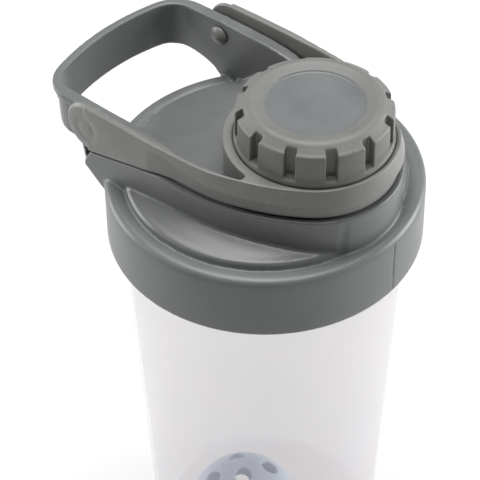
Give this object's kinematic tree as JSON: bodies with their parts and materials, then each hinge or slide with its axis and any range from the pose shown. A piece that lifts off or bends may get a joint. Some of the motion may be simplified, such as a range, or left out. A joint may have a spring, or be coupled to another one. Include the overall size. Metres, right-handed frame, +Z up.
{
  "type": "protein shaker bottle",
  "caption": "Tapered translucent shaker bottle with a screw lid, fixed carry loop, hinged yoke holding a ribbed screw cap over a drinking spout, and a loose mixing ball inside.",
  "frame": {"origin": "centre of the flat base, on the surface the bottle stands on", "axes": "+Z up along the bottle's axis, +X from the bottle's axis towards the spout, the carry loop at -X"},
  "size_m": [0.1169, 0.096, 0.2106],
  "materials": {
    "bottle_plastic": "frosted translucent polypropylene",
    "lid_plastic": "satin moulded polypropylene with a fine texture on the deck",
    "yoke_plastic": "satin moulded polypropylene",
    "cap_plastic": "fine spark-eroded texture, smooth top disc",
    "seal_rubber": "matt silicone",
    "ball_plastic": "satin moulded plastic"
  },
  "bodies": {
    "bottle": {"bottle": "bottle_plastic"},
    "gasket": {"lid_gasket": "seal_rubber"},
    "lid": {"lid": "lid_plastic"},
    "yoke": {"cap_yoke": "yoke_plastic"},
    "seal": {"cap_seal": "seal_rubber"},
    "cap": {"screw_cap": "cap_plastic"},
    "ball": {"ball_upper_half": "ball_plastic", "ball_lower_half": "ball_plastic"}
  },
  "joints": [
    {"name": "lid_lift", "type": "slide", "parent": "bottle", "child": "gasket", "axis": [0, 0, 1], "range_m": [0, 0.0163]},
    {"name": "lid_turn", "type": "hinge", "parent": "gasket", "child": "lid", "pos_m": [0, 0, 0.155], "axis": [0, 0, 1], "range_deg": [0, 1170]},
    {"name": "yoke_flip", "type": "hinge", "parent": "lid", "child": "yoke", "pos_m": [-0.04, 0, 0.1903], "axis": [0, -1, 0], "range_deg": [0, 170]},
    {"name": "cap_lift", "type": "slide", "parent": "yoke", "child": "seal", "axis": [0, 0, 1], "range_m": [0, 0.00441]},
    {"name": "cap_turn", "type": "hinge", "parent": "seal", "child": "cap", "pos_m": [0.018, 0, 0.2], "axis": [0, 0, 1], "range_deg": [0, 396]},
    {"name": "ball_rise", "type": "slide", "parent": "bottle", "child": "ball", "axis": [0, 0, 1], "range_m": [0, 0.12]}
  ],
  "couplings": [
    {"joint": "lid_lift", "follows": "lid_turn", "m_per_rad": 0.00079577},
    {"joint": "cap_lift", "follows": "cap_turn", "m_per_rad": 0.00063662}
  ]
}
